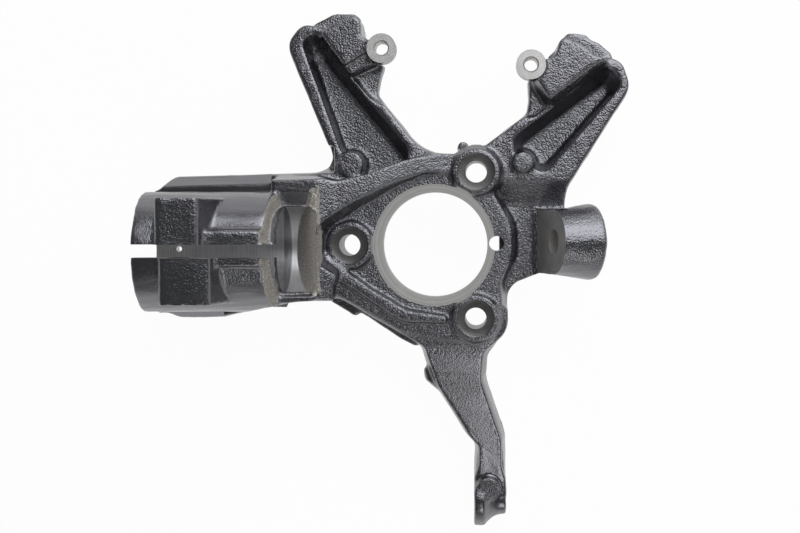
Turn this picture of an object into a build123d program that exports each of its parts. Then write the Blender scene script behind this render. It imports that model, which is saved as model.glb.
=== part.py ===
from build123d import *
import os
from math import cos, radians, sin, tan

os.makedirs("parts", exist_ok=True)

# Steering knuckle of a strut suspension: one iron casting, machined where other parts bolt on.
# Frame: origin on the wheel axis, in the plane of the bearing flange seat; +Z runs inboard
# along the wheel axis, -X is up in the car and +Y is the side that carries the brake caliper.
# Lengths are in millimetres and angles in degrees.

# bearing seat
bearing_bore = 70.0
bearing_cone = 80.0
bearing_land = 12.0
hub_face = 26.0
bolt_circle = 110.0
bolt_hole = 14.0
hub_draft = 12.0
bolt_spot = 25.0
bolt_boss_radius = 14.8
bolt_boss_draft = 26.0
bolt_boss_top = 30.0
bolt_boss_foot = 22.0
crest_top = 46.0
crest_x = -75.0
seat_foot_x = -90.0
seat_foot_z = 14.5
recess_draft = 16.0
low_ridge_top = 31.0
spot_depth = 0.8
sensor_hole = 9.8
sensor_offset = 41.0
sensor_flat = 1.8
sensor_ledge = 12.0

# web that ties the arms, the hub and the strut clamp together
web_bottom = 4.0
web_parting = 12.0
web_top = 24.0
web_step = 11.0
ball_recess_start = 40.0
slope_foot_y = 27.0
slope_top_y = 42.0
web_draft = 5.0

# caliper arms
pin_radius = 131.0
caliper_angle = 83.2
pin_half_angle = 21.6
pin_boss_radius = 9.5
pin_boss_height = 12.5
pin_face = 37.5
pin_hole = 8.5
pin_chamfer = 0.9
pin_depth = 25.0
ear_top = 35.0
ear_draft = 1.0
ear_foot_draft = 12.0
ear_rib_top = 31.5
platform_top = 19.0
pocket_floor = 10.0
left_pocket_draft = 9.0
right_pocket_draft = 26.0
disc_clearance = 143.5
finger_end = -32.5
finger_draft = 2.0

left_pad_radius = 8.2
left_pad_top = 25.5
right_pad_radius = 6.5
right_pad_top = 27.5
eye_pad_radius = 7.6
eye_pad_top = -1.5
nub_radius = 3.6
nub_top = 20.0
pad_height = 18.0

# strut clamp
strut_bore = 55.0
clamp_wall = 11.5
clamp_drop = 1.3
clamp_length = 87.0
clamp_end = 93.0
shoulder_radius = 33.8
shoulder_end = 124.0
clamp_tilt = 5.6
clamp_top_x = -188.4
clamp_top_z = 44.9
clamp_centre_y = -3.0
slit_width = 8.2
lug_start = 16.5
lug_end = 43.0
lower_lug_start = 18.8
lower_lug_end = 50.0
lug_slope = 22.0
lug_half = 33.0
lug_height = 10.5
lip_height = 4.0
lip_near = 12.5
lip_far = 9.0
relief_depth = 1.0
relief_start = -97.0
pinch_hole = 14.5
pinch_clearance = 1.5

# ball joint boss
ball_x = 76.9
ball_y = 2.2
ball_z = 38.0
ball_tilt = 18.0
ball_face_radius = 20.8
ball_end_radius = 25.0
ball_length = 27.0
ball_foot = 29.5
ball_chamfer = 2.0
ball_taper_small = 16.5
taper_rate = 0.1

# steering arm and tie-rod eye
arm_lug_top = 10.0
arm_lug_height = 8.0
eye_x = 26.5
eye_y = -176.0
eye_z = -14.0
eye_radius = 18.5
eye_neck_radius = 11.0
eye_flange = 7.0
eye_length = 22.0
eye_taper_small = 12.0


# closed flat outline; each corner is x, y and the radius of its rounding
def outline(corners):
    with BuildSketch() as shape:
        with BuildLine():
            FilletPolyline(
                *[(x, y) for x, y, r in corners], radius=[r for x, y, r in corners], close=True)
        make_face()
    return shape.sketch


def about(centre, corners):
    return [(centre.X + x, centre.Y + y, r) for x, y, r in corners]


def polar(radius, angle):
    return Vector(radius * cos(radians(angle)), radius * sin(radians(angle)))


bolts = [polar(bolt_circle / 2, angle) for angle in (180, 60, -60)]
left_pin = polar(pin_radius, caliper_angle + pin_half_angle)
right_pin = polar(pin_radius, caliper_angle - pin_half_angle)

web_outline = outline(
    [(86, 22, 0), (86.5, 36, 20), (116.5, 84, 30)]
    + about(right_pin, [
        (65.7, -13.7, 14), (58, 10, 12), (30, 0, 3), (10.8, 6.4, 3), (7.8, -3.1, 3), (-1.7, -7.6, 2),
        (-0.9, -20.1, 20), (-2.2, -29.1, 5)])
    + [(30, 63.5, 3), (12, 59.5, 8), (-8, 62.5, 30)]
    + about(left_pin, [
        (-4, -27.2, 4), (-2, -16.7, 10), (1, -8.2, 2), (-7.5, -5.2, 3), (-10, 7.3, 2),
        (-52.5, 20.4, 10), (-65.7, 6.4, 13)])
    + [(-63.8, 48.6, 11), (-176, 46, 9), (-184.5, 37, 5), (-196, 36, 3), (-194.5, 29, 3),
       (-184, 26, 4), (-184, -36, 4), (-191, -40, 3), (-192, -47.3, 3), (-180.6, -46.4, 6),
       (-173, -50.2, 8), (-142, -49, 15), (-98, -39, 20), (-76, -34.8, 12),
       (-62, -36.5, 10), (-21, -60, 18), (-9.5, -67.5, 12), (-4, -85, 0), (34.8, -85, 0), (35.5, -73, 12),
       (48.6, -55, 14), (48.3, -28, 12), (70, -18.5, 0), (86, -14, 0)])

with BuildPart() as web:
    with BuildSketch(Plane.XY.offset(web_parting)):
        add(web_outline)
    extrude(amount=web_top - web_parting, taper=web_draft)
    with BuildSketch(Plane.XY.offset(web_parting)):
        add(web_outline)
    extrude(amount=-(web_parting - web_bottom), taper=web_draft)

# flange on the outboard side, with the lug that the casting was clamped by
flange_outline = outline([
    (-74, -10, 0), (-74, -36.8, 1.5), (-55, -48.5, 1), (-52.8, -48.5, 1), (-51, -46, 1.5),
    (-38, -54.5, 30), (-23.5, -63.8, 15), (-12.6, -69.5, 5), (0, -60, 0), (0, -10, 0)])

# hub drum with the seats of the three bearing bolts and the ridges that brace it
hub_outline = outline(
    [(-74, -33, 0), (-61, -34, 10), (-20, -57, 20), (0, -61, 20), (24, -64, 10),
     (44, -57, 12), (44.5, -34, 8), (43, -25, 12), (51.5, -6, 24), (50.5, 14, 20), (38, 34.5, 12),
     (28, 55, 6), (6, 53, 10), (-12, 53, 20), (-45, 42, 30), (-74, 40, 0)])

with BuildPart() as hub:
    with BuildSketch(Plane.XY.offset(hub_face)):
        add(hub_outline)
    extrude(amount=-(hub_face - web_step), taper=-hub_draft)
    with BuildSketch():
        add(hub_outline)
    extrude(amount=web_step)
    with BuildSketch(Plane.XY.offset(bolt_boss_top)):
        with Locations(*bolts):
            Circle(bolt_boss_radius)
    extrude(amount=-(bolt_boss_top - bolt_boss_foot), taper=-bolt_boss_draft)

# brace: the shoulder that stops the strut, and the ridge that runs from it over the hub
brace_outline = outline([
    (-104, 46, 0), (-76, 45, 8), (-62, 41.5, 8), (-44, 46, 20), (-21, 54.5, 30), (2, 60.2, 10), (20, 59, 0),
    (20, 46, 0), (-8, 47.5, 20), (-40, 24, 10), (-62, 10, 0), (-62, -24, 8), (-76, -36, 8), (-104, -38, 0)])

with BuildPart() as brace:
    with BuildSketch(Plane.XY.offset(web_bottom)):
        add(brace_outline)
    extrude(amount=60)
    with BuildSketch(Plane.XZ):
        with BuildLine():
            Polyline((-104, web_bottom), (-104, crest_top), (crest_x, crest_top), (-62, crest_top - 4),
                     (-30, 38), (6, hub_face + 2), (20, hub_face - 1), (20, web_bottom), close=True)
        make_face()
    extrude(amount=100, both=True, mode=Mode.INTERSECT)

# hollow around the upper bearing bolt, between the shoulder and the hub face
recess_outline = outline([
    (-71, -8, 8), (-71, 7, 10), (-65, 13.5, 10), (-54.5, 21, 10), (-38.4, 30.4, 20), (-22.7, 39.2, 20),
    (-8, 44.5, 10), (14, 47, 0), (14, -36, 0), (-24, -36, 10), (-42, -25.5, 10), (-62, -14, 10)])

low_ridge_outline = outline(
    [(-70, -6.5, 3), (-56, -17.4, 20), (-42, -27.4, 20), (-17, -42.6, 20), (9, -46, 2), (9, -51, 2),
     (-20, -50.5, 14), (-35, -41, 20), (-58, -25.8, 20), (-68, -22, 4), (-76, -21, 0), (-76, -6, 0)])

with BuildPart() as low_ridge:
    with BuildSketch():
        add(low_ridge_outline)
    extrude(amount=low_ridge_top)
    fillet(low_ridge.faces().sort_by(Axis.Z)[-1].edges(), radius=2)

# caliper arms: ears that carry the guide bosses, and fingers that reach over the disc
left_ear_outline = outline(about(left_pin, [
    (-44, 3, 0), (-38, 12.2, 2), (-29, 18.4, 14), (-16.4, 21.8, 3), (-13.8, 18, 2), (-13.2, 8.4, 3),
    (-6, 4.6, 0), (-6, -1.8, 0), (-10.5, -2.2, 2), (-24.5, -10.2, 1), (-31, -14, 0)]))
left_ear_rib_outline = outline(about(left_pin, [
    (-5, 0, 0), (-3.5, -8, 0), (-19.5, -15, 1.5), (-30, -20, 0), (-27, -9, 0)]))
right_ear_outline = outline(about(right_pin, [
    (47, 4.2, 2), (39.8, 6, 4), (36.2, 9.8, 6), (29.5, 14.4, 10), (20.3, 17.9, 2), (17.6, 14.2, 2),
    (15.8, 6.3, 3), (8.5, 2.8, 0), (3.5, -7.5, 0), (14, -24, 1), (20, -24, 0), (51, -1, 0)]))
right_ear_foot_outline = outline(about(right_pin, [
    (4, -8.8, 1), (13.2, -22.6, 2), (30, -12, 0), (30, 3, 0), (14, -4, 0)]))

left_finger_outline = outline(about(left_pin, [
    (-10.5, 6.5, 0), (-14.5, 11, 2), (-16, 23.4, 3), (-19.6, 26.5, 2), (-33, 27.4, 8), (-48.5, 20, 4),
    (-46, -8, 0)]))
right_finger_outline = outline(about(right_pin, [
    (8, 4, 0), (12, 8.4, 2), (18, 14, 2), (19.8, 19, 2), (24.7, 23.9, 2.5), (36.4, 23, 2.5),
    (39.8, 19.3, 2), (45, 17.2, 6), (55.3, 8, 4), (38, -15, 0)]))

with BuildPart() as ears:
    for shape, top, foot, draft in (
            (left_ear_outline, ear_top, web_step, ear_draft),
            (left_ear_rib_outline, ear_rib_top, web_step, ear_draft),
            (right_ear_outline, ear_top, web_step, ear_draft),
            (right_ear_foot_outline, ear_top, platform_top - 1, ear_foot_draft)):
        with BuildSketch(Plane.XY.offset(top)):
            add(shape)
        extrude(amount=-(top - foot), taper=-draft)

with BuildPart() as fingers:
    for shape in (left_finger_outline, right_finger_outline):
        with BuildSketch(Plane.XY.offset(web_parting)):
            add(shape)
            Circle(disc_clearance, mode=Mode.SUBTRACT)
        extrude(amount=finger_end - web_parting, taper=finger_draft)

with BuildPart() as pin_bosses:
    with BuildSketch(Plane.XY.offset(pin_face)):
        with Locations(left_pin, right_pin):
            Circle(pin_boss_radius)
    extrude(amount=-pin_boss_height)

# cast pads: place, radius, height of the top, draft
pads = [
    ((-55, 53), left_pad_radius, left_pad_top, 9),
    ((58, 53.8), right_pad_radius, right_pad_top, 12),
    ((36.1, -166), eye_pad_radius, eye_pad_top, 2),
    ((18.8, 64.3), nub_radius, nub_top, 3)]

left_platform_outline = outline([
    (-60, 118, 0), (-49, 106.5, 4), (-41.8, 97.8, 3), (-36, 94, 0), (-20, 94, 0), (-20, 124, 0),
    (-60, 124, 0)])
right_platform_outline = outline([
    (78, 94.6, 0), (64.5, 84.2, 4), (57, 85.8, 0), (44, 85.8, 0), (44, 112, 0), (78, 112, 0)])

# pockets that lighten the arms: outline at the floor, outline at the rim, draft of the wall above the rim
left_pocket = (
    outline([(-82.5, 128, 2), (-79.6, 130.8, 1.5), (-65.5, 111.3, 20), (-20, 56.5, 4),
             (-22, 46, 4), (-40, 41, 6), (-58, 61, 8)]),
    outline([(-88.4, 136, 7), (-77.5, 140, 5), (-54.8, 109.4, 20), (-16.6, 63.5, 5),
             (-18, 48, 4), (-40, 39, 6), (-61.5, 61, 8)]),
    left_pocket_draft)
right_pocket = (
    outline([(112.8, 107.4, 3), (57, 65.5, 4), (60.5, 58.2, 6), (72.5, 52.5, 5), (113.6, 99, 3)]),
    outline([(112.6, 116, 6), (51, 70.3, 7), (52, 55.5, 8), (72.5, 46.5, 6), (123.5, 106.5, 8)]),
    right_pocket_draft)

# strut clamp, set out on the plane through the strut axis: x runs down the strut from the rim
clamp_plane = Plane(
    origin=(clamp_top_x, clamp_centre_y, clamp_top_z),
    x_dir=(cos(radians(clamp_tilt)), 0, -sin(radians(clamp_tilt))),
    z_dir=(sin(radians(clamp_tilt)), 0, cos(radians(clamp_tilt))))
strut_plane = Plane(origin=clamp_plane.origin, x_dir=clamp_plane.y_dir, z_dir=clamp_plane.x_dir)
clamp_radius = strut_bore / 2 + clamp_wall
lug_top = clamp_radius + lug_height
pinch_height = strut_bore / 2 + pinch_clearance + pinch_hole / 2
pinch_along = (lug_start + lug_end) / 2
pinch_plane = Plane(
    origin=clamp_plane.origin + clamp_plane.x_dir * pinch_along + clamp_plane.z_dir * pinch_height,
    x_dir=clamp_plane.x_dir, z_dir=(0, 1, 0))

with BuildPart() as clamp:
    with BuildSketch(strut_plane):
        with Locations((-clamp_drop, 0)):
            Circle(clamp_radius)
    extrude(amount=clamp_end)
    with BuildSketch(strut_plane):
        Circle(shoulder_radius)
    extrude(amount=shoulder_end)
    # lugs for the pinch bolt, with steep flanks across the strut and a long slope down it
    for start, end, side in ((lug_start, lug_end, -1), (lower_lug_start, lower_lug_end, 1)):
        with BuildSketch(Plane(origin=clamp_plane.origin, x_dir=clamp_plane.x_dir, z_dir=(0, -1, 0))):
            with BuildLine():
                FilletPolyline((start - 2, 0), (start, lug_top), (end, lug_top),
                               (end + lug_top * tan(radians(lug_slope)), 0), radius=[0, 3, 3, 0], close=True)
            make_face()
        extrude(amount=side * lug_half)
    # raised lips of the slit
    with BuildSketch(clamp_plane.offset(clamp_radius + lip_height)):
        with Locations(((lug_end + clamp_length) / 2, (lip_near - lip_far) / 2)):
            Rectangle(clamp_length - lug_end, lip_near + lip_far)
    extrude(amount=-20, taper=-12)
    # side rails that stiffen the collar, and the rounded end that carries on as the shoulder
    with BuildSketch(Plane.XZ):
        with BuildLine():
            Polyline((-106.5, 100), (-101.5, 52), (-97, 36), (crest_x, crest_top), (-62, 42), (-40, 42),
                     (-40, 120), (-106.5, 120), close=True)
        make_face()
    extrude(amount=100, both=True, mode=Mode.SUBTRACT)

# ball joint boss
ball_plane = Plane(
    origin=(ball_x, ball_y, ball_z), x_dir=(0, 1, 0),
    z_dir=(cos(radians(ball_tilt)), 0, -sin(radians(ball_tilt))))

with BuildPart() as ball_boss:
    with BuildSketch(ball_plane):
        Circle(ball_face_radius)
    with BuildSketch(ball_plane.offset(ball_length)):
        Circle(ball_end_radius)
    loft()
    chamfer(ball_boss.faces().sort_by(Axis.X)[-1].edges(), length=ball_chamfer)
    with BuildSketch(ball_plane):
        with Locations((0, -ball_foot / 2)):
            Rectangle(2 * ball_face_radius, ball_foot)
    extrude(amount=18)

# steering arm, bent outboard towards the tie-rod eye
arm_outline = outline([
    (-16, -50, 0), (-9.5, -67.5, 12), (-1.5, -93, 20), (20, -129.5, 8), (26.8, -137, 8), (26.2, -156, 0),
    (eye_x, eye_y, 0), (eye_x + eye_length, eye_y, 0), (48, -158, 0), (47.8, -131, 20), (34.2, -90, 25),
    (35.5, -72, 12), (48.6, -55, 14), (48.6, -42, 0)])

arm_lug_outline = outline([(0, -77, 0), (-7.6, -83.5, 2.5), (-6.8, -91, 2), (0, -97, 0), (8, -90, 0)])

with BuildPart() as steering_arm:
    with BuildSketch():
        add(arm_outline)
    extrude(amount=60, both=True)
    with BuildSketch(Plane.YZ):
        with BuildLine():
            FilletPolyline(
                (-40, 4), (-58, 4), (-165, eye_z - 11), (eye_y, eye_z - 11), (eye_y, eye_z + 10),
                (-165, eye_z + 10), (-68, 23), (-40, 23), radius=[0, 20, 20, 0, 0, 20, 20, 0], close=True)
        make_face()
    extrude(amount=100, both=True, mode=Mode.INTERSECT)
    # lug on the flank of the arm
    with BuildSketch(Plane.XY.offset(arm_lug_top)):
        add(arm_lug_outline)
    extrude(amount=-arm_lug_height)

eye_plane = Plane(origin=(eye_x, eye_y, eye_z), x_dir=(0, 1, 0), z_dir=(1, 0, 0))

with BuildPart() as eye:
    with BuildSketch(Plane.XY.offset(eye_z)):
        with BuildLine():
            end = eye_x + eye_length
            a = Line((eye_x, eye_y), (eye_x, eye_y + eye_radius))
            b = Line(a @ 1, (eye_x + eye_flange, eye_y + eye_radius))
            c = ThreePointArc(b @ 1, (eye_x + eye_flange + 4.5, eye_y + eye_neck_radius + 2.6),
                              (end, eye_y + eye_neck_radius))
            d = Polyline(c @ 1, (end, eye_y), (eye_x, eye_y))
        make_face()
    revolve(axis=Axis((eye_x, eye_y, eye_z), (1, 0, 0)))

tilted_seat = Plane(
    origin=(seat_foot_x, 0, seat_foot_z), x_dir=(0, 1, 0),
    z_dir=(-(crest_top - seat_foot_z), 0, crest_x - seat_foot_x))

# strut bore, its relief by the shoulder, and the window above them
with BuildPart() as strut_space:
    with BuildSketch(strut_plane.offset(-20)):
        Circle(strut_bore / 2)
    extrude(amount=140)
    split(bisect_by=Plane(origin=(relief_start, 0, 0), z_dir=strut_plane.z_dir), keep=Keep.BOTTOM)

with BuildPart() as relief_space:
    with BuildSketch(strut_plane.offset(80)):
        Circle(strut_bore / 2 + relief_depth)
    extrude(amount=60)
    split(bisect_by=Plane(origin=(relief_start, 0, 0), z_dir=strut_plane.z_dir), keep=Keep.TOP)
    split(bisect_by=tilted_seat, keep=Keep.TOP)

with BuildPart() as window_space:
    with BuildSketch(Plane.YZ.offset(-110)):
        with BuildLine():
            Polyline((-30, 30), (-30, 37), (-34.5, 52), (-50, 110), (90, 110), (41, 52), (24, 37), (24, 30),
                     close=True)
        make_face()
    extrude(amount=60)
    with BuildSketch(Plane.XZ):
        with BuildLine():
            Polyline((-97, 20), (-97, 36), (-101.5, 52), (-106.5, 100), (-106.5, 110), (-50, 110), (-50, 20),
                     close=True)
        make_face()
    extrude(amount=100, both=True, mode=Mode.INTERSECT)
    split(bisect_by=tilted_seat, keep=Keep.TOP)

with BuildPart() as knuckle_casting:
    add(web.part)
    # the web steps down between the hub and the ball joint boss, with a slope up to the right arm
    with BuildSketch(Plane.YZ.offset(ball_recess_start)):
        with BuildLine():
            Polyline((-40, web_step), (slope_foot_y, web_step), (slope_top_y, web_top),
                     (slope_top_y, web_top + 10), (-40, web_top + 10), close=True)
        make_face()
    extrude(amount=60, mode=Mode.SUBTRACT)
    # the flats beside the ears lie lower than the ribs
    for shape in (left_platform_outline, right_platform_outline):
        with BuildSketch(Plane.XY.offset(platform_top)):
            add(shape)
        extrude(amount=10, taper=-20, mode=Mode.SUBTRACT)
    add(ears.part)
    # pockets, with the wall carried on up to the edges of the ears
    for floor, rim, draft in (left_pocket, right_pocket):
        with BuildSketch(Plane.XY.offset(pocket_floor)):
            add(floor)
        with BuildSketch(Plane.XY.offset(web_top)):
            add(rim)
        loft(mode=Mode.SUBTRACT)
        with BuildSketch(Plane.XY.offset(web_top)):
            add(rim)
        extrude(amount=ear_top - web_top + 2, taper=-draft, mode=Mode.SUBTRACT)
    add(brace.part)
    add(clamp.part)
    with BuildSketch(Plane.XY.offset(hub_face - 0.5)):
        add(recess_outline)
    extrude(amount=70, taper=-recess_draft, mode=Mode.SUBTRACT)
    add(hub.part)
    with BuildSketch():
        add(flange_outline)
    extrude(amount=web_bottom + 1)
    add(low_ridge.part)
    add(fingers.part)
    add(ball_boss.part)
    add(steering_arm.part)
    add(eye.part)
    add(pin_bosses.part)
    # cast pads
    for place, radius, top, draft in pads:
        with BuildSketch(Plane.XY.offset(top)):
            with Locations(place):
                Circle(radius)
        extrude(amount=-pad_height, taper=-draft)
    # bearing seat
    with BuildSketch(Plane.XZ):
        with BuildLine():
            Polyline((0, -1), (bearing_bore / 2, -1), (bearing_bore / 2, bearing_land),
                     (bearing_cone / 2, hub_face), (bearing_cone / 2 + 3, hub_face + 12), (0, hub_face + 12),
                     close=True)
        make_face()
    revolve(axis=Axis.Z, mode=Mode.SUBTRACT)
    for bolt in bolts:
        with Locations((bolt.X, bolt.Y, bolt_boss_top - spot_depth)):
            Cylinder(bolt_spot / 2, 30, align=(Align.CENTER, Align.CENTER, Align.MIN), mode=Mode.SUBTRACT)
        with Locations((bolt.X, bolt.Y, 0)):
            Cylinder(bolt_hole / 2, 100, mode=Mode.SUBTRACT)
    # strut bore, window and slit
    add(strut_space.part, mode=Mode.SUBTRACT)
    add(relief_space.part, mode=Mode.SUBTRACT)
    add(window_space.part, mode=Mode.SUBTRACT)
    with BuildSketch(clamp_plane):
        with Locations((clamp_length / 2 - 10, 0)):
            Rectangle(clamp_length + 20, slit_width)
    extrude(amount=lug_top + 10, mode=Mode.SUBTRACT)
    # pinch bolt
    with BuildSketch(pinch_plane):
        Circle(pinch_hole / 2)
    extrude(amount=80, both=True, mode=Mode.SUBTRACT)
    # guide pin holes
    for pin in (left_pin, right_pin):
        with Locations((pin.X, pin.Y, pin_face)):
            CounterSinkHole(pin_hole / 2, pin_hole / 2 + pin_chamfer, depth=pin_depth)
    # tapered holes of the ball joint and the tie rod
    for plane, length, small in (
            (ball_plane, ball_length, ball_taper_small), (eye_plane, eye_length, eye_taper_small)):
        with BuildSketch(plane.offset(-10)):
            Circle(small / 2 - 10 * taper_rate / 2)
        with BuildSketch(plane.offset(length + 10)):
            Circle(small / 2 + (length + 10) * taper_rate / 2)
        loft(mode=Mode.SUBTRACT)
    # sensor hole
    with BuildSketch(Plane.XY.offset(sensor_ledge)):
        with Locations((sensor_offset, 1)):
            Circle(sensor_hole / 2)
    extrude(amount=20, mode=Mode.SUBTRACT)
    with BuildSketch():
        with Locations((sensor_offset, 1)):
            Circle(sensor_hole / 2)
            with Locations((sensor_flat + sensor_hole, 0)):
                Rectangle(2 * sensor_hole, 2 * sensor_hole, mode=Mode.SUBTRACT)
    extrude(amount=40, mode=Mode.SUBTRACT)

print("solids", len(knuckle_casting.part.solids()), knuckle_casting.part.is_valid,
      "volume", round(knuckle_casting.part.volume / 1000), "faces", len(knuckle_casting.part.faces()))
knuckle_casting.part.label = "knuckle_casting"
export_step(knuckle_casting.part, "parts/knuckle_casting.step")
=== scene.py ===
import math

import bmesh
import bpy
import numpy as np
from mathutils import Matrix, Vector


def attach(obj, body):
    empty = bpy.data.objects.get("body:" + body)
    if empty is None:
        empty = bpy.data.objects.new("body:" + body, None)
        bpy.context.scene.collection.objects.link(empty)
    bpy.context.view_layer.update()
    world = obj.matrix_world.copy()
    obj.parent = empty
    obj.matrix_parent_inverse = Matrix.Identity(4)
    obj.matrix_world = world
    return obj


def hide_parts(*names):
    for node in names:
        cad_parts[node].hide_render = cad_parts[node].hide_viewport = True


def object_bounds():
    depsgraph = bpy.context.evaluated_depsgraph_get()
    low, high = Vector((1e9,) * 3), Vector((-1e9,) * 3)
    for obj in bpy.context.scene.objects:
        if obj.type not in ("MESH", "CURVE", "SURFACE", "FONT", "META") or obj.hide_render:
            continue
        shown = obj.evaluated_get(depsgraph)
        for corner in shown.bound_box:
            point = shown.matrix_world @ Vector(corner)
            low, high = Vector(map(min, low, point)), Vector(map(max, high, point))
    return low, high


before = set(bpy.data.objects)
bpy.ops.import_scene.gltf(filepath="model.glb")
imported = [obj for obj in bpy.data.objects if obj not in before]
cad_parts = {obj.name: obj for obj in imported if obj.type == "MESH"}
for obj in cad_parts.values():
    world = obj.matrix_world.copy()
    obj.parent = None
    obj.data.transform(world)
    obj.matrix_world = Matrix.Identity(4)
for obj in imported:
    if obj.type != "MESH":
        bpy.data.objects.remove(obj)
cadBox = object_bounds()
mm = 0.001
print("frame loaded")


# machined features, in millimetres and degrees; pairs are (radius, height), (x, z) or (along, height)
bearingSeat = {"bore": 35.0, "land": 12.0, "cone": 40.0, "face": 26.0, "coneEnd": (44.3, 38.0)}
boltSeats = {"circle": 55.0, "angles": (180.0, 60.0, -60.0), "hole": 7.0, "spot": 12.5,
             "spotHeight": 29.2, "bossTop": 30.0}
strutBore = {"origin": (-188.4, -3.0, 44.9), "tilt": 5.6, "radius": 27.5, "end": 91.8,
             "relief": 28.5, "reliefStart": -97.0, "seatFoot": (-90.0, 14.5), "seatCrest": (-75.0, 46.0),
             "slit": 4.1, "slitSide": ((-12, 15), (-12, 60), (100, 60), (88.5, 15))}
lugShape = {"upper": (16.5, 43.0), "lower": (18.8, 50.0), "top": 49.5, "slope": 22.0, "lip": 43.0,
            "collar": 38.9, "length": 87.0, "pinchHole": 7.25, "pinchAlong": 29.75, "pinchHeight": 36.25}
guidePins = {"radius": 131.0, "middle": 83.2, "spread": 21.6, "boss": 9.5, "face": 37.5, "hole": 4.25,
             "chamfer": 0.9, "faceRadius": 13.0}
ballSeat = {"origin": (76.9, 2.2, 38.0), "tilt": 18.0, "radius": 20.8, "foot": 29.5, "skin": 2.2,
            "small": 8.25, "rate": 0.05}
sensorHole = {"centre": (41.0, 1.0), "radius": 4.9, "flat": 1.8, "ledge": 12.0}

# small forms that only this scene has
drainHole = {"along": 18.6, "radius": 1.9}
eyePad = {"place": (36.1, -166.0), "radius": 7.7, "foot": -12.0, "top": 2.4}

# plugs that close the machined holes while the skin is softened: radii, and spans along each axis
plugs = {"low": 0.05, "hub": 41.0, "bolt": 13.6, "sensor": 5.4, "pinSpan": (27.0, 40.5),
         "strut": 28.0, "strutSpan": (0.0, 82.0), "collar": 27.25, "collarSpan": (78.0, 92.2),
         "relief": 28.2, "reliefLead": 0.6, "slab": 4.4, "slabFoot": 20.0, "ballDepth": 3.0}

# what is trimmed off: outlines, and where each prism starts and ends
handTrim = {
    "collarFoot": ((-122, -43.7), (-106.7, -40.1), (-93.4, -37.8), (-83, -36.4), (-66, -36),
                   (-66, -62), (-122, -62)),
    "collarFootEnds": ((0, 0, 25.5), (0, 0, 95.0)),
    "topRail": ((49.5, 10.5), (38.0, 26.5), (62, 26.5), (62, 10.5)),
    "topRailEnds": ((-200, -1.8, 0), (-108, 0.4, 0)),
    "topFlank": ((49.8, 10), (45.4, 24.5), (41.3, 46), (38.5, 62), (64, 62), (64, 10)),
    "topFlankEnds": ((-107, 0.4, 0), (-66, 1.6, 0)),
    "bottomRail": ((-51.5, 10.5), (-40.0, 26.5), (-64, 26.5), (-64, 10.5)),
    "bottomRailEnds": ((-190, 1.5, 0), (-141, 0.2, 0)),
    "armRoot": ((-66.6, 23.45), (-92, 16.4), (-92, 44), (-66.6, 44)),
    "armRootEnds": ((-14, 0, 0), (40, 0, 0)),
    "rimFoot": ((-14, -62), (5.2, -62), (0, 41), (-14, 60)),
    "rimFootHalf": 60}

# draft of the steering arm: its left, right and middle lines as (y, x) and (y, z), and where the lean fades
armDraft = {
    "inset": 3.0, "fadeIn": (-60.0, -69.0), "fadeOut": (-150.0, -160.0), "halfThick": 9.5, "reach": 40.0,
    "left": ((-176.0, 26.5), (-156.0, 26.2), (-137.0, 26.8), (-129.5, 20.0), (-93.0, -1.5),
             (-67.5, -9.5), (-50.0, -16.0)),
    "right": ((-176.0, 48.5), (-158.0, 48.0), (-131.0, 47.8), (-90.0, 34.2), (-72.0, 35.5),
              (-55.0, 48.6), (-50.0, 48.6)),
    "middle": ((-176.0, -14.5), (-165.0, -14.5), (-63.0, 13.5), (-50.0, 13.5))}


def polar(radius, angle):
    return np.array([radius * math.cos(math.radians(angle)), radius * math.sin(math.radians(angle))])


def axisFrame(origin, tilt):
    # unit vectors of a frame whose first axis runs along +X, tipped down by tilt degrees about Y
    c, s = math.cos(math.radians(tilt)), math.sin(math.radians(tilt))
    return np.array(origin), np.array([c, 0.0, -s]), np.array([0.0, 1.0, 0.0]), np.array([s, 0.0, c])


def closedMesh(name, points, faces):
    mesh = bpy.data.meshes.new(name)
    mesh.from_pydata((np.asarray(points) * mm).tolist(), [], faces)
    build = bmesh.new()
    build.from_mesh(mesh)
    bmesh.ops.recalc_face_normals(build, faces=build.faces)
    build.to_mesh(mesh)
    build.free()
    return mesh


def turnedSolid(name, origin, along, across, profile, sides=96):
    # point(i, a) = origin + along * h_i + r_i * (across * cos a + (along x across) * sin a),
    # capped at both ends; profile holds the pairs (r_i, h_i)
    along, across = np.array(along, float), np.array(across, float)
    third = np.cross(along, across)
    turn = np.linspace(0, 2 * math.pi, sides, endpoint=False)
    ring = np.cos(turn)[:, None] * across + np.sin(turn)[:, None] * third
    rows = np.array(profile, float)
    points = np.array(origin) + rows[:, 1, None, None] * along + rows[:, 0, None, None] * ring[None]
    count = len(rows)
    index = np.arange(sides)
    faces = []
    for i in range(count - 1):
        a, b = i * sides + index, i * sides + (index + 1) % sides
        faces += np.stack([a, b, b + sides, a + sides], 1).tolist()
    faces.append(index[::-1].tolist())
    faces.append(((count - 1) * sides + index).tolist())
    return closedMesh(name, points.reshape(-1, 3), faces)


def prism(name, outline, low, high):
    # outline is a list of 3-D points; the prism runs from outline + low to outline + high
    outline = np.array(outline, float)
    n = len(outline)
    points = np.concatenate([outline + low, outline + high])
    faces = [list(range(n))[::-1], list(range(n, 2 * n))]
    faces += [[i, (i + 1) % n, n + (i + 1) % n, n + i] for i in range(n)]
    return closedMesh(name, points, faces)


upZ, rightX = np.array([0.0, 0.0, 1.0]), np.array([1.0, 0.0, 0.0])
strutO, strutX, strutY, strutZ = axisFrame(strutBore["origin"], strutBore["tilt"])
ballO, ballX, ballY, ballZ = axisFrame(ballSeat["origin"], ballSeat["tilt"])
bolts = [polar(boltSeats["circle"], a) for a in boltSeats["angles"]]
pins = [polar(guidePins["radius"], guidePins["middle"] + k * guidePins["spread"]) for k in (1, -1)]


def upright(name, place, profile, sides=96):
    return turnedSolid(name, (*place, 0), upZ, rightX, profile, sides)


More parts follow.
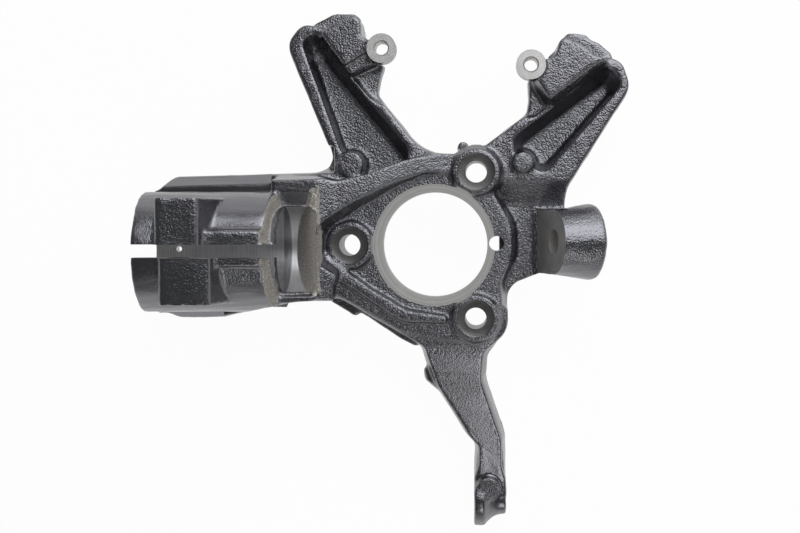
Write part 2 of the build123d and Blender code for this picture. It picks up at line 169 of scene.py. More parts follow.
def onStrut(name, radius, span, sides=96):
    return turnedSolid(name, strutO, strutX, strutY, [(radius, s) for s in span], sides)


def strutPoint(along, height):
    return strutO + strutX * along + strutZ * height


def slitSlab(lug, low, high):
    # half of the slit's plug: the side view of one lug, between two heights across the strut axis
    start, end = lugShape[lug]
    top, lip, collar, below = lugShape["top"], lugShape["lip"], lugShape["collar"], plugs["slabFoot"]
    foot = end + (top - lip) * math.tan(math.radians(lugShape["slope"]))
    far = lugShape["length"] - 2
    side = [(0.2, below), (0.2, collar), (start - 0.5, collar), (start, top), (end, top), (foot, lip),
            (far, lip), (far, below)]
    return prism("fill", [strutPoint(s, h) for s, h in side], strutY * low, strutY * high)


def fillers():
    # solids that close the machined holes, so that the casting can be softened as one skin
    low, face, slab = plugs["low"], bearingSeat["face"], plugs["slab"]
    made = [upright("fill", (0, 0), [(plugs["hub"], low), (plugs["hub"], face)])]
    for bolt in bolts:
        made.append(upright("fill", bolt, [(plugs["bolt"], low), (plugs["bolt"], boltSeats["bossTop"])]))
    for pin in pins:
        made.append(upright("fill", pin, [(guidePins["boss"], h) for h in plugs["pinSpan"]]))
    made.append(onStrut("fill", plugs["strut"], plugs["strutSpan"]))
    made.append(slitSlab("upper", 0.0, slab))
    made.append(slitSlab("lower", -slab, 0.0))
    made.append(upright("fill", sensorHole["centre"], [(plugs["sensor"], low), (plugs["sensor"], face)]))
    made.append(ballSkin(-ballSeat["skin"], plugs["ballDepth"], 0.0))
    made.append(upright("fill", eyePad["place"], [(eyePad["radius"] + 0.7, eyePad["foot"]),
                                                  (eyePad["radius"], eyePad["top"])]))
    made.append(onStrut("fill", plugs["collar"], plugs["collarSpan"]))
    made.append(reliefSolid(plugs["relief"], strutBore["reliefStart"] - plugs["reliefLead"]))
    return made


def trims():
    # what the casting loses to the listed trims: the collar's foot, drafted flanks, the steering arm's root
    # and the rim
    made = [prism("trim", [(x, y, 0) for x, y in handTrim["collarFoot"]], *handTrim["collarFootEnds"])]
    for name in ("topRail", "topFlank", "bottomRail", "armRoot"):
        made.append(prism("trim", [(0, y, z) for y, z in handTrim[name]], *handTrim[name + "Ends"]))
    made.append(prism("trim", [strutPoint(s, h) for s, h in handTrim["rimFoot"]],
                      -handTrim["rimFootHalf"] * strutY, handTrim["rimFootHalf"] * strutY))
    return made


def ballSkin(near, far, grow):
    # stadium below the ball joint's axis: a half circle of the seat's radius over a straight foot
    turn = np.linspace(0, math.pi, 33)
    radius = ballSeat["radius"] + grow
    outline = [ballO + ballY * radius * math.cos(a) + ballZ * radius * math.sin(a) for a in turn]
    outline += [ballO + side * ballY * radius - ballZ * ballSeat["foot"] for side in (-1, 1)]
    return prism("ballSkin", outline, ballX * near, ballX * far)


# how far the cutters run: past the hub's faces, past the clamp's sides, and along each slanted axis
cutPast = {"below": -2.0, "above": 40.0, "pinSpan": (8.0, 46.0), "aside": 60.0, "drainTop": -20.0,
           "strutStart": -12.0, "ball": (-6, 36), "ballSkin": 0.6, "ballGrow": 1.0}


def cutters():
    # the machined faces and holes, cut sharp into the softened skin
    below, above, aside = cutPast["below"], cutPast["above"], cutPast["aside"]
    bore, land, cone, face = (bearingSeat[k] for k in ("bore", "land", "cone", "face"))
    made = [upright("cutBearing", (0, 0),
                    [(bore, below), (bore, land), (cone, face), bearingSeat["coneEnd"]], 192)]
    hole, seat, spot = boltSeats["hole"], boltSeats["spotHeight"], boltSeats["spot"]
    for bolt in bolts:
        made.append(upright("cutBolt", bolt, [(hole, below), (hole, seat), (spot - 1.2, seat + 0.001),
                                              (spot - 0.5, seat + 0.25), (spot + 0.7, seat + 1.6),
                                              (spot + 0.7, above)]))
    hole, face, slope, wide = (guidePins[k] for k in ("hole", "face", "chamfer", "faceRadius"))
    floor, top = cutPast["pinSpan"]
    for pin in pins:
        made.append(upright("cutPin", pin, [(hole, floor), (hole, face - slope), (hole + slope, face),
                                            (wide, face + 0.001), (wide, top)]))
    made.append(onStrut("cutStrut", strutBore["radius"], (cutPast["strutStart"], strutBore["end"]), 192))
    made.append(reliefSolid(strutBore["relief"], strutBore["reliefStart"]))
    made.append(prism("cutSlit", [strutPoint(s, h) for s, h in strutBore["slitSide"]],
                      -strutY * strutBore["slit"], strutY * strutBore["slit"]))
    pinch = strutPoint(lugShape["pinchAlong"], lugShape["pinchHeight"])
    made.append(turnedSolid("cutPinch", pinch, strutY, strutZ,
                            [(lugShape["pinchHole"], -aside), (lugShape["pinchHole"], aside)], 64))
    made.append(turnedSolid("cutDrain", strutPoint(drainHole["along"], 0), strutZ, strutX,
                            [(drainHole["radius"], s) for s in (-aside, cutPast["drainTop"])], 48))
    made.append(ballSkin(-ballSeat["skin"] - cutPast["ballSkin"], 0.0, cutPast["ballGrow"]))
    made.append(turnedSolid("cutBall", ballO, ballX, ballY,
                            [(ballSeat["small"] + s * ballSeat["rate"], s) for s in cutPast["ball"]]))
    (x, y), disc, flat = sensorHole["centre"], sensorHole["radius"], sensorHole["flat"]
    made.append(upright("cutSensor", (x, y), [(disc, sensorHole["ledge"]), (disc, above)], 64))
    turn = np.linspace(math.acos(flat / disc), 2 * math.pi - math.acos(flat / disc), 40)
    made.append(prism("cutSensor", [(x + disc * math.cos(a), y + disc * math.sin(a), 0) for a in turn],
                      below * upZ, (sensorHole["ledge"] + 0.5) * upZ))
    return made


def reliefSolid(radius, start, sides=192):
    # a cylinder about the strut axis whose two ends are the plane x = start and the tilted seat plane
    turn = np.linspace(0, 2 * math.pi, sides, endpoint=False)
    ring = strutO + radius * (np.cos(turn)[:, None] * strutY + np.sin(turn)[:, None] * strutZ)
    first = ring + strutX * ((start - ring[:, :1]) / strutX[0])
    (fx, fz), (cx, cz) = strutBore["seatFoot"], strutBore["seatCrest"]
    normal = np.array([cz - fz, 0.0, fx - cx])
    reach = ((np.array([fx, 0, fz]) - ring) @ normal) / (strutX @ normal)
    last = ring + strutX * reach[:, None]
    index = np.arange(sides)
    after = (index + 1) % sides
    faces = np.stack([index, after, sides + after, sides + index], 1).tolist()
    faces += [index[::-1].tolist(), (sides + index).tolist()]
    return closedMesh("relief", np.concatenate([first, last]), faces)


def meshObject(name, mesh):
    made = bpy.data.objects.new(name, mesh)
    bpy.context.scene.collection.objects.link(made)
    return made


def applied(item):
    graph = bpy.context.evaluated_depsgraph_get()
    mesh = bpy.data.meshes.new_from_object(item.evaluated_get(graph))
    item.modifiers.clear()
    item.data = mesh
    return item


# casting: closed, softened as one skin, then cut again; lengths in millimetres
castBody = {"weld": 0.002, "voxel": 0.9, "softPasses": 9, "softFactor": 0.5, "triangles": 150000,
            "waves": ((17.0, 0.06), (11.0, 0.045), (7.0, 0.03), (4.6, 0.02)),
            "waveDrop": 0.04, "pinClear": 10.0, "pinFade": 5.0}


def castWave(points):
    # sum over the waves of height * sin(2 pi p.d / length + phase), each with three seeded directions d
    rng = np.random.default_rng(7)
    height = np.zeros(len(points))
    for length, tall in castBody["waves"]:
        for turn in range(3):
            way = rng.normal(size=3)
            run = points @ (way / np.linalg.norm(way)) * 2 * math.pi / length
            height += tall * np.sin(run + rng.uniform(0, 6.28))
    return height


def handCast(mesh):
    # every point moves along its normal by castWave - waveDrop, and not at all beside the guide pins;
    # the steering arm's flanks lean in above its middle plane, towards their centre c = (left + right) / 2:
    # x = c + (x - c) * (1 - inset / halfWidth * rise * fade), rise from 0 at that plane to 1 at the top
    count = len(mesh.vertices)
    points, normals = np.empty(count * 3), np.empty(count * 3)
    mesh.vertices.foreach_get("co", points)
    mesh.vertices.foreach_get("normal", normals)
    points, normals = points.reshape(-1, 3) / mm, normals.reshape(-1, 3)
    nearPin = np.min([np.hypot(points[:, 0] - pin[0], points[:, 1] - pin[1]) for pin in pins], axis=0)
    free = np.clip((nearPin - castBody["pinClear"]) / castBody["pinFade"], 0, 1)
    points = points + normals * ((castWave(points) - castBody["waveDrop"]) * free)[:, None]
    x, y, z = points.T
    left, right, middle = (np.interp(y, *np.array(armDraft[k]).T) for k in ("left", "right", "middle"))
    rise = np.clip((z - middle) / armDraft["halfThick"], 0, 1)
    fade = (np.interp(-y, [-k for k in armDraft["fadeIn"]], [0, 1])
            * np.interp(-y, [-k for k in armDraft["fadeOut"]], [1, 0]))
    fromLine = x - (left + right) / 2
    lean = armDraft["inset"] / ((right - left) / 2) * rise * fade * (np.abs(fromLine) < armDraft["reach"])
    points[:, 0] = x - fromLine * lean
    low, high = (np.array(corner) / mm for corner in cadBox)
    return np.clip(points, low, high) * mm


def remesh(item):
    skin = item.modifiers.new("skin", "REMESH")
    skin.mode, skin.voxel_size, skin.adaptivity = "VOXEL", castBody["voxel"] * mm, 0.0
    applied(item)


def subtract(item, mesh):
    tool = meshObject("tool", mesh)
    cut = item.modifiers.new("cut", "BOOLEAN")
    cut.operation, cut.solver, cut.object = "DIFFERENCE", "MANIFOLD", tool
    applied(item)
    bpy.data.objects.remove(tool)


def softCasting():
    # a merged copy of the node and its plugs becomes one skin; it is trimmed, smoothed, thinned, waved and cut
    build = bmesh.new()
    build.from_mesh(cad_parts["knuckle_casting"].data)
    bmesh.ops.remove_doubles(build, verts=build.verts, dist=castBody["weld"] * mm)
    for filler in fillers():
        build.from_mesh(filler)
    mesh = bpy.data.meshes.new("castBody")
    build.to_mesh(mesh)
    build.free()
    body = meshObject("castKnuckle", mesh)
    remesh(body)
    for trim in trims():
        subtract(body, trim)
    remesh(body)
    soft = body.modifiers.new("soft", "SMOOTH")
    soft.factor, soft.iterations = castBody["softFactor"], castBody["softPasses"]
    applied(body)
    print("skin", len(body.data.polygons))
    thin = body.modifiers.new("thin", "DECIMATE")
    thin.ratio = min(1.0, castBody["triangles"] / (2.0 * len(body.data.polygons)))
    thin.use_collapse_triangulate = True
    applied(body)
    print("thinned", len(body.data.polygons))
    body.data.vertices.foreach_set("co", handCast(body.data).ravel())
    body.data.update()
    for cutter in cutters():
        subtract(body, cutter)
    print("cut", len(body.data.polygons))
    return body


body = softCasting()


def faceFacts(mesh):
    n = len(mesh.polygons)
    centre, normal = np.empty(n * 3, np.float32), np.empty(n * 3, np.float32)
    mesh.polygons.foreach_get("center", centre)
    mesh.polygons.foreach_get("normal", normal)
    return centre.reshape(-1, 3) / mm, normal.reshape(-1, 3)


# first material slot of each finish, and how near to a cut surface a face's centre lies to take its finish
slots = {"coat": 0, "bearing": 1, "bolt": 2, "strut": 5, "pin": 6, "ball": 8, "grit": 9, "sawn": 10,
         "seat": 11}
nearCut = {"cone": 0.12, "spot": 0.4, "hole": 0.05, "bore": 0.06, "slit": 0.03, "face": 0.05, "seat": 1.6,
           "chamfer": 0.15}

# where along or beside its axis each cut surface ends
cutSpans = {"strutUpTo": 122.0, "slitAbove": 20.0, "slitUpTo": 100.0, "pinAbove": 24.0, "ballFace": 40.0,
            "ballTaper": (-3.0, 32.0)}

# bare places, as ranges of x, z, of the distance from the strut axis, and a half width about a middle y
barePlaces = {"seatHeights": (8.0, 50.0), "seatBelowX": -70.0, "seatMiddle": -1.0, "seatHalf": 36.0,
              "rimX": (-105.0, -92.0), "rimAbove": 16.0, "rimReach": (27.0, 46.0),
              "crestX": (-84.0, -72.3), "crestWave": 3.0, "crestMiddle": 3.0, "crestHalf": 34.0,
              "crestAbove": 34.0, "backBelow": 0.3, "backRing": (34.0, 64.0)}


def within(values, limits):
    return (values > limits[0]) & (values < limits[1])


def finishSlots(mesh):
    # each face takes the finish of the cut surface that its centre lies on, and the coat anywhere else
    centre, normal = faceFacts(mesh)
    x, y, z = centre.T
    slot = np.full(len(centre), slots["coat"], np.int32)

    # bearing bore and its cone, bolt holes and their spot faces
    r = np.hypot(x, y)
    inward = -(x * normal[:, 0] + y * normal[:, 1]) / np.maximum(r, 1e-6)
    bore, land, wide, face = (bearingSeat[k] for k in ("bore", "land", "cone", "face"))
    cone = np.where(z < land, bore, bore + (z - land) * (wide - bore) / (face - land))
    slot[(np.abs(r - cone) < nearCut["cone"]) & (inward > 0.5)] = slots["bearing"]
    height = boltSeats["spotHeight"]
    for k, bolt in enumerate(bolts):
        d = np.hypot(x - bolt[0], y - bolt[1])
        seat = (d < boltSeats["spot"] + nearCut["spot"]) & within(z, (height - 0.05, height + 0.5))
        seat &= normal[:, 2] > 0.6
        slot[seat | (np.abs(d - boltSeats["hole"]) < nearCut["hole"])] = slots["bolt"] + k

    # strut bore with its relief, and the slit
    s = (centre - strutO) @ strutX
    off = (centre - strutO) - s[:, None] * strutX
    reach = np.linalg.norm(off, axis=1)
    facing = -(off * normal).sum(1) / np.maximum(reach, 1e-6)
    onBore = np.abs(reach - strutBore["radius"]) < nearCut["bore"]
    onBore |= np.abs(reach - strutBore["relief"]) < nearCut["bore"]
    slot[onBore & (facing > 0.9) & (s < cutSpans["strutUpTo"])] = slots["strut"]
    height = (centre - strutO) @ strutZ
    onSlit = np.abs(np.abs(y - strutBore["origin"][1]) - strutBore["slit"]) < nearCut["slit"]
    onSlit &= (height > cutSpans["slitAbove"]) & (s < cutSpans["slitUpTo"])
    slot[onSlit & (np.abs(normal[:, 1]) > 0.9)] = slots["sawn"]

    # guide pins and the ball joint's seat
    for k, pin in enumerate(pins):
        d = np.hypot(x - pin[0], y - pin[1])
        onFace = np.abs(z - guidePins["face"]) < nearCut["face"]
        inHole = d < guidePins["hole"] + guidePins["chamfer"] + nearCut["chamfer"]
        onPin = (d < guidePins["faceRadius"]) & (z > cutSpans["pinAbove"])
        slot[onPin & (onFace | inHole)] = slots["pin"] + k
    place = centre - ballO
    along = place @ ballX
    onFace = (np.abs(along) < nearCut["face"]) & (normal @ ballX < -0.9)
    slot[onFace & (np.hypot(place[:, 1], place[:, 2]) < cutSpans["ballFace"])] = slots["ball"]
    around = np.linalg.norm(place - along[:, None] * ballX, axis=1)
    taper = np.abs(around - ballSeat["small"] - along * ballSeat["rate"])
    slot[(taper < nearCut["bore"]) & within(along, cutSpans["ballTaper"])] = slots["ball"]

    # bare places: the strut's seat, the collar's rim, the shoulder's crest and the flange face
    (fx, fz), (cx, cz) = strutBore["seatFoot"], strutBore["seatCrest"]
    lean = np.array([cz - fz, 0.0, fx - cx]) / math.hypot(cz - fz, fx - cx)
    out = (centre - np.array([fx, 0, fz])) @ lean
    seat = (np.abs(out) < nearCut["seat"]) & within(z, barePlaces["seatHeights"]) & (normal @ lean < -0.5)
    seat &= (np.abs(y - barePlaces["seatMiddle"]) < barePlaces["seatHalf"]) & (x < barePlaces["seatBelowX"])
    # the seat takes the grit painted lighter: painted light on a face that lies in shade
    slot[(slot == 0) & seat] = slots["seat"]
    rim = within(x, barePlaces["rimX"]) & within(reach, barePlaces["rimReach"])
    slot[(slot == 0) & rim & (z > barePlaces["rimAbove"]) & (normal[:, 0] > 0.5)] = slots["grit"]
    low, high = barePlaces["crestX"]
    crest = (x > low) & (x < high + barePlaces["crestWave"] * castWave(centre))
    crest &= np.abs(y - barePlaces["crestMiddle"]) < barePlaces["crestHalf"]
    crest &= z > barePlaces["crestAbove"]
    slot[(slot == 0) & crest & (normal[:, 2] > 0.2)] = slots["grit"]
    back = (z < barePlaces["backBelow"]) & (normal[:, 2] < -0.95) & within(r, barePlaces["backRing"])
    slot[(slot == 0) & back] = slots["bearing"]
    return slot


# amount of pebble, 1 on the coarse sand-cast places and near 0 on the smooth ones; later rows win. A row is
# the amount, the open ranges of x, y and z, and a circle as (x, y, radius); None leaves a side open
grainRows = ((1.0, (-76, None), None, (9, None), (0, 0, 68)),
             (1.0, None, (45, None), (6, 14.5), (0, 0, 165)),
             (0.75, None, (95, None), (30, None), None),
             (1.0, None, None, None, (-55, 53, 11)),
             (1.0, None, None, None, (58, 53.8, 9)),
             (0.95, (44, 93), (-40, 47), (None, 27), None),
             (0.16, (None, -100), None, None, None),
             (0.4, (-175, -100), None, (72, None), None),
             (0.14, None, (None, -66), (None, 22), None),
             (0.9, None, None, (-8, None), (36.1, -166, 8)),
             (0.5, (78, None), (-24, 16), (34, None), None))
grainLook = {"rest": 0.55, "least": 0.08, "steepFrom": 0.75, "steepOver": 0.4, "steepLoss": 0.72,
             "steepRightOf": -100.0}


def grainAmount(points, normals):
    # amount * (1 - steepLoss * steep), steep from 0 where the skin lies flat to 1 on a wall
    x, y, z = points.T
    amount = np.full(len(x), grainLook["rest"])
    for value, *ranges, circle in grainRows:
        here = np.ones(len(x), bool)
        for measure, limits in zip((x, y, z), ranges):
            low, high = limits or (None, None)
            if low is not None:
                here &= measure > low
            if high is not None:
                here &= measure < high
        if circle:
            here &= np.hypot(x - circle[0], y - circle[1]) < circle[2]
        amount[here] = value
    steep = np.clip((grainLook["steepFrom"] - np.abs(normals[:, 2])) / grainLook["steepOver"], 0, 1)
    loss = grainLook["steepLoss"] * steep * (x > grainLook["steepRightOf"])
    return np.clip(amount * (1 - loss), grainLook["least"], 1.0)


def nodesOf(name):
    mat = bpy.data.materials.new(name)
    mat.use_nodes = True
    tree = mat.node_tree
    return mat, tree, tree.nodes["Principled BSDF"]


def link(tree, a, b):
    tree.links.new(a, b)


def noiseOf(tree, place, size, detail):
    # size is the noise's grain in millimetres
    node = tree.nodes.new("ShaderNodeTexNoise")
    node.inputs["Scale"].default_value = 1000 / size
    node.inputs["Detail"].default_value = detail
    link(tree, place.outputs["Object"], node.inputs["Vector"])
    return node.outputs["Fac"]


def bumpOf(tree, source, height, under=None):
    # height in millimetres
    node = tree.nodes.new("ShaderNodeBump")
    node.inputs["Distance"].default_value = height * mm
    link(tree, source, node.inputs["Height"])
    if under:
        link(tree, under, node.inputs["Normal"])
    return node.outputs["Normal"]


def mathOf(tree, operation, first, second):
    node = tree.nodes.new("ShaderNodeMath")
    node.operation = operation
    for k, value in enumerate((first, second)):
        if isinstance(value, float):
            node.inputs[k].default_value = value
        else:
            link(tree, value, node.inputs[k])
    return node.outputs[0]


def rampOf(tree, source, places, colours):
    node = tree.nodes.new("ShaderNodeValToRGB")
    for stop, place, colour in zip(node.color_ramp.elements, places, colours):
        stop.position, stop.color = place, (*colour, 1)
    link(tree, source, node.inputs["Fac"])
    return node.outputs["Color"]


# sizes and heights in millimetres
coatLook = {"colour": (0.0115, 0.0118, 0.0135), "tint": (0.94, 0.94, 1.0, 1), "ior": 2.45,
            "roughness": 0.10, "grainRough": 0.13, "rippleRough": 0.12,
            "pebble": 1.1, "pebbleSoft": 0.35, "pebbleDrift": 2.4, "pebbleHeight": 0.34,
            "sand": 0.6, "sandHeight": 0.10, "ripple": 3.2, "rippleHeight": 0.07}


def castCoat():
    # black dip over sand-cast iron: pebbles where grain is high, fine sand and slow ripples everywhere;
    # the shader's roughness is roughness + grainRough * grain + rippleRough * ripple
    mat, tree, shader = nodesOf("castCoat")
    shader.inputs["Base Color"].default_value = (*coatLook["colour"], 1)
    shader.inputs["IOR"].default_value = coatLook["ior"]
    shader.inputs["Specular Tint"].default_value = coatLook["tint"]
    place = tree.nodes.new("ShaderNodeTexCoord")
    grain = tree.nodes.new("ShaderNodeAttribute")
    grain.attribute_name = "grain"
    pebble = tree.nodes.new("ShaderNodeTexVoronoi")
    pebble.feature = "SMOOTH_F1"
    pebble.inputs["Scale"].default_value = 1000 / coatLook["pebble"]
    pebble.inputs["Smoothness"].default_value = coatLook["pebbleSoft"]
    link(tree, place.outputs["Object"], pebble.inputs["Vector"])
    drift = noiseOf(tree, place, coatLook["pebbleDrift"], 2)
    lump = mathOf(tree, "SUBTRACT", drift, pebble.outputs["Distance"])
    ripple = noiseOf(tree, place, coatLook["ripple"], 4)
    normal = bumpOf(tree, mathOf(tree, "MULTIPLY", lump, grain.outputs["Fac"]), coatLook["pebbleHeight"])
    normal = bumpOf(tree, noiseOf(tree, place, coatLook["sand"], 2), coatLook["sandHeight"], normal)
    normal = bumpOf(tree, ripple, coatLook["rippleHeight"], normal)
    link(tree, normal, shader.inputs["Normal"])
    dull = mathOf(tree, "MULTIPLY", grain.outputs["Fac"], coatLook["grainRough"])
    dull = mathOf(tree, "ADD", dull, mathOf(tree, "MULTIPLY", ripple, coatLook["rippleRough"]))
    link(tree, mathOf(tree, "ADD", dull, coatLook["roughness"]), shader.inputs["Roughness"])
    return mat


# pitch and height of the turning lines are in millimetres
metalLook = {
    "bearing": {"colour": (0.30, 0.297, 0.29), "metallic": 0.85, "rough": 0.38, "pitch": 1.1, "height": 0.03},
    "bolt": {"colour": (0.14, 0.137, 0.133), "metallic": 0.85, "rough": 0.36, "pitch": 0.8, "height": 0.03},
    "strut": {"colour": (0.66, 0.66, 0.67), "metallic": 0.45, "rough": 0.34, "pitch": 0.9, "height": 0.03},
    "pin": {"colour": (0.50, 0.49, 0.475), "metallic": 0.85, "rough": 0.4, "pitch": 0.7, "height": 0.02},
    "ball": {"colour": (0.36, 0.35, 0.34), "metallic": 0.4, "rough": 0.42, "pitch": 1.3, "height": 0.02},
    "saw": {"colour": (0.40, 0.395, 0.385), "metallic": 0.35, "rough": 0.45, "pitch": 0.6, "height": 0.02}}
metalCloud = {"size": 9.0, "dark": 0.72, "light": 1.22, "ramp": (0.30, 0.72), "duller": 0.1,
              "glossier": 0.07}


def turnedMetal(name, centre, tilt, look, along=False):
    # turning lines: noise that reads only the distance from the axis, or only the place along it
    mat, tree, shader = nodesOf(name)
    shader.inputs["Metallic"].default_value = look["metallic"]
    place = tree.nodes.new("ShaderNodeTexCoord")
    turn = tree.nodes.new("ShaderNodeMapping")
    turn.vector_type = "TEXTURE"
    turn.inputs["Location"].default_value = [c * mm for c in centre]
    turn.inputs["Rotation"].default_value = (0, math.radians(tilt), 0)
    link(tree, place.outputs["Object"], turn.inputs["Vector"])
    parts = tree.nodes.new("ShaderNodeSeparateXYZ")
    link(tree, turn.outputs["Vector"], parts.inputs[0])
    source = parts.outputs["Z"]
    if not along:
        flat = tree.nodes.new("ShaderNodeCombineXYZ")
        link(tree, parts.outputs["X"], flat.inputs["X"])
        link(tree, parts.outputs["Y"], flat.inputs["Y"])
        reach = tree.nodes.new("ShaderNodeVectorMath")
        reach.operation = "LENGTH"
        link(tree, flat.outputs[0], reach.inputs[0])
        source = reach.outputs["Value"]
    lines = tree.nodes.new("ShaderNodeTexNoise")
    lines.noise_dimensions = "1D"
    lines.inputs["Scale"].default_value = 1000 / look["pitch"]
    lines.inputs["Detail"].default_value = 4
    link(tree, source, lines.inputs["W"])
    cloud = noiseOf(tree, place, metalCloud["size"], 5)
    both = mathOf(tree, "MULTIPLY", mathOf(tree, "ADD", lines.outputs["Fac"], cloud), 0.5)
    dark = [c * metalCloud["dark"] for c in look["colour"]]
    light = [min(1, c * metalCloud["light"]) for c in look["colour"]]
    link(tree, rampOf(tree, both, metalCloud["ramp"], (dark, light)), shader.inputs["Base Color"])
    link(tree, bumpOf(tree, lines.outputs["Fac"], look["height"]), shader.inputs["Normal"])
    rough = tree.nodes.new("ShaderNodeMapRange")
    rough.inputs["To Min"].default_value = look["rough"] - metalCloud["glossier"]
    rough.inputs["To Max"].default_value = look["rough"] + metalCloud["duller"]
    link(tree, cloud, rough.inputs["Value"])
    link(tree, rough.outputs["Result"], shader.inputs["Roughness"])
    return mat


# dark and light of the bare, sandy iron on the cast places; the seat's pair is the same grit painted far
# lighter, which is painted light on the shoulder face in the collar's shade
gritLook = {"grit": ((0.12, 0.112, 0.10), (0.46, 0.43, 0.39)),
            "seat": ((0.34, 0.315, 0.28), (0.95, 0.90, 0.82)),
            "ramp": (0.36, 0.66), "size": 0.9, "height": 0.3, "roughness": 0.6}


def bareGrit(name, colours):
    mat, tree, shader = nodesOf(name)
    shader.inputs["Roughness"].default_value = gritLook["roughness"]
    place = tree.nodes.new("ShaderNodeTexCoord")
    grit = noiseOf(tree, place, gritLook["size"], 4)
    link(tree, rampOf(tree, grit, gritLook["ramp"], colours), shader.inputs["Base Color"])
    link(tree, bumpOf(tree, grit, gritLook["height"]), shader.inputs["Normal"])
    return mat


def dress(item):
    # the materials in the order of slots, then the grain that the coat reads, and smooth shading
    mesh = item.data
    mesh.materials.clear()
    strutTurn, ballTurn = 90 + strutBore["tilt"], 90 + ballSeat["tilt"]
    looks = [castCoat(), turnedMetal("turnedBearing", (0, 0, 0), 0, metalLook["bearing"])]
    for k, bolt in enumerate(bolts):
        looks.append(turnedMetal(f"boltSeat{k}", (*bolt, 0), 0, metalLook["bolt"]))
    looks.append(turnedMetal("boredStrut", strutBore["origin"], strutTurn, metalLook["strut"], True))
    for k, pin in enumerate(pins):
        looks.append(turnedMetal(f"pinFace{k}", (*pin, 0), 0, metalLook["pin"]))
    looks.append(turnedMetal("ballSeatFace", ballSeat["origin"], ballTurn, metalLook["ball"]))
    looks.append(bareGrit("bareGrit", gritLook["grit"]))
    looks.append(turnedMetal("sawnSlit", strutBore["origin"], strutTurn, metalLook["saw"], True))
    # seat grit: the bare grit painted far lighter, as painted light on the shaded shoulder face
    looks.append(bareGrit("seatGritPaintedLight", gritLook["seat"]))
    for look in looks:
        mesh.materials.append(look)
    mesh.polygons.foreach_set("material_index", finishSlots(mesh))
    points = np.empty(len(mesh.vertices) * 3, np.float32)
    normals = np.empty(len(mesh.vertices) * 3, np.float32)
    mesh.vertices.foreach_get("co", points)
    mesh.vertices.foreach_get("normal", normals)
    amount = grainAmount(points.reshape(-1, 3) / mm, normals.reshape(-1, 3))
    grain = mesh.attributes.new("grain", "FLOAT", "POINT")
    grain.data.foreach_set("value", amount.astype(np.float32))
    mesh.polygons.foreach_set("use_smooth", np.ones(len(mesh.polygons), bool))
    mesh.set_sharp_from_angle(angle=math.radians(38))


dress(body)
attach(body, "root")
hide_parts("knuckle_casting")
print("casting dressed")


# floor and light, in metres and watts
studio = {"floor": -0.0326, "floorSize": 6.0, "floorGlow": 0.97, "floorColour": 0.82, "floorRough": 0.9,
          "overhead": 0.11, "horizon": 1.0, "horizonPower": 3.0,
          "keyPlace": (0.45, 0.85, 1.0), "keySize": (1.4, 1.4), "keyPower": 18.0,
          "keyColour": (0.96, 0.97, 1.0),
          "armPlace": (0.30, -0.95, 1.0), "armSize": (0.5, 0.6), "armPower": 2.3, "armColour": (1, 1, 1)}


def seenByEye(tree, kinds):
    # 1 for rays that come straight from the eye, or by way of the kinds named, and 0 for the rest
    path = tree.nodes.new("ShaderNodeLightPath")
    value = path.outputs["Is Camera Ray"]
    for kind in kinds:
        value = mathOf(tree, "MAXIMUM", value, path.outputs[kind])
    return value


def whiteFloor():
    # pale and plain; almost white to the eye and to what reflects it, with the casting's shadow kept
    mesh = bpy.data.meshes.new("paleFloor")
    half, z = studio["floorSize"] / 2, studio["floor"]
    corners = [(-half, -half, z), (half, -half, z), (half, half, z), (-half, half, z)]
    mesh.from_pydata(corners, [], [(0, 1, 2, 3)])
    floor = meshObject("paleFloor", mesh)
    mat, tree, shader = nodesOf("paleFloor")
    shader.inputs["Base Color"].default_value = (*[studio["floorColour"]] * 3, 1)
    shader.inputs["Roughness"].default_value = studio["floorRough"]
    glow = tree.nodes.new("ShaderNodeEmission")
    glow.inputs["Strength"].default_value = 1.0
    seen = seenByEye(tree, ("Is Glossy Ray", "Is Transmission Ray"))
    mix = tree.nodes.new("ShaderNodeMixShader")
    link(tree, mathOf(tree, "MULTIPLY", seen, studio["floorGlow"]), mix.inputs["Fac"])
    link(tree, shader.outputs["BSDF"], mix.inputs[1])
    link(tree, glow.outputs["Emission"], mix.inputs[2])
    link(tree, mix.outputs[0], tree.nodes["Material Output"].inputs["Surface"])
    mesh.materials.append(mat)


def areaLamp(name):
    # a soft box that faces the origin; name is its prefix in studio
    lamp = bpy.data.lights.new(name + "Lamp", "AREA")
    lamp.shape = "RECTANGLE"
    lamp.size, lamp.size_y = studio[name + "Size"]
    lamp.energy, lamp.color = studio[name + "Power"], studio[name + "Colour"]
    item = bpy.data.objects.new(name + "Lamp", lamp)
    bpy.context.scene.collection.objects.link(item)
    place = studio[name + "Place"]
    away = np.array(place, float)
    away /= np.linalg.norm(away)
    side = np.cross([0.0, 1.0, 0.0], away)
    side /= np.linalg.norm(side)
    over = np.cross(away, side)
    turn = np.stack([side, over, away], 1)
    item.matrix_world = Matrix([[*turn[i], place[i]] for i in range(3)] + [[0, 0, 0, 1]])


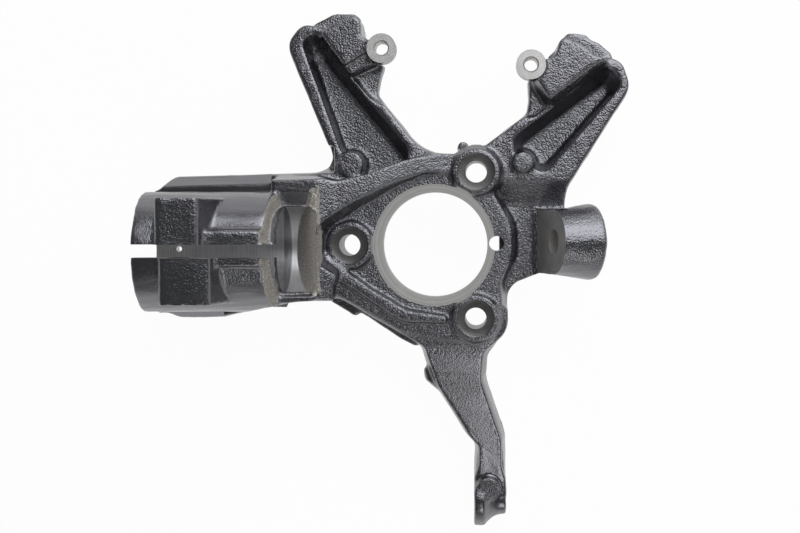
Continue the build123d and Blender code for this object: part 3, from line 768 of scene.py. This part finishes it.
def softRoom():
    # dim overhead, white at the horizon: overhead + (horizon - overhead) * (1 - height) ** horizonPower
    world = bpy.data.worlds.new("softRoom")
    bpy.context.scene.world = world
    world.use_nodes = True
    tree = world.node_tree
    way = tree.nodes.new("ShaderNodeTexCoord")
    parts = tree.nodes.new("ShaderNodeSeparateXYZ")
    link(tree, way.outputs["Generated"], parts.inputs[0])
    low = tree.nodes.new("ShaderNodeMapRange")
    low.inputs["To Min"].default_value = 1.0
    low.inputs["To Max"].default_value = 0.0
    link(tree, parts.outputs["Z"], low.inputs["Value"])
    fall = tree.nodes.new("ShaderNodeMapRange")
    fall.inputs["To Min"].default_value = studio["overhead"]
    fall.inputs["To Max"].default_value = studio["horizon"]
    link(tree, mathOf(tree, "POWER", low.outputs["Result"], studio["horizonPower"]), fall.inputs["Value"])
    glow = mathOf(tree, "MAXIMUM", fall.outputs["Result"], seenByEye(tree, ()))
    tree.nodes["Background"].inputs["Color"].default_value = (1, 1, 1, 1)
    link(tree, glow, tree.nodes["Background"].inputs["Strength"])


whiteFloor()
areaLamp("key")
areaLamp("arm")
softRoom()

# the camera stands inboard of the casting, turned so that lines along the wheel axis meet at pixel vanish,
# and placed so that the middle of the hub's face is seen at the pixel hubSeen, at the scale hubScale
eyeView = {"lens": 50.0, "frameWide": 36.0, "clip": (0.01, 20.0), "picture": (800, 533),
           "vanish": (485.0, 225.0), "hubSeen": (433.9, 245.05), "hubFace": 25.0, "hubScale": 0.655}


def eyePlace():
    # the rows of turn are the part's axes as the camera has them, x level in the picture and y = z cross x;
    # the camera is at hub face - turn * ray(hubSeen) * hubScale * focal, in millimetres
    wide, high = eyeView["picture"]
    focal = eyeView["lens"] / eyeView["frameWide"] * wide

    def ray(pixel):
        return np.array([(pixel[0] - wide / 2) / focal, (high / 2 - pixel[1]) / focal, -1.0])

    z = -ray(eyeView["vanish"])
    z /= np.linalg.norm(z)
    x = rightX - (rightX @ z) * z
    x /= np.linalg.norm(x)
    turn = np.stack([x, np.cross(z, x), z])
    place = upZ * eyeView["hubFace"] - turn @ ray(eyeView["hubSeen"]) * eyeView["hubScale"] * focal
    return Matrix([[*turn[i], place[i] * mm] for i in range(3)] + [[0, 0, 0, 1]])


eye = bpy.data.cameras.new("eye")
eye.lens, eye.sensor_width, eye.sensor_fit = eyeView["lens"], eyeView["frameWide"], "HORIZONTAL"
eye.clip_start, eye.clip_end = eyeView["clip"]
viewer = bpy.data.objects.new("eye", eye)
bpy.context.scene.collection.objects.link(viewer)
viewer.matrix_world = eyePlace()
bpy.context.scene.camera = viewer
bpy.context.scene.view_settings.view_transform = "Standard"
print("stage set")
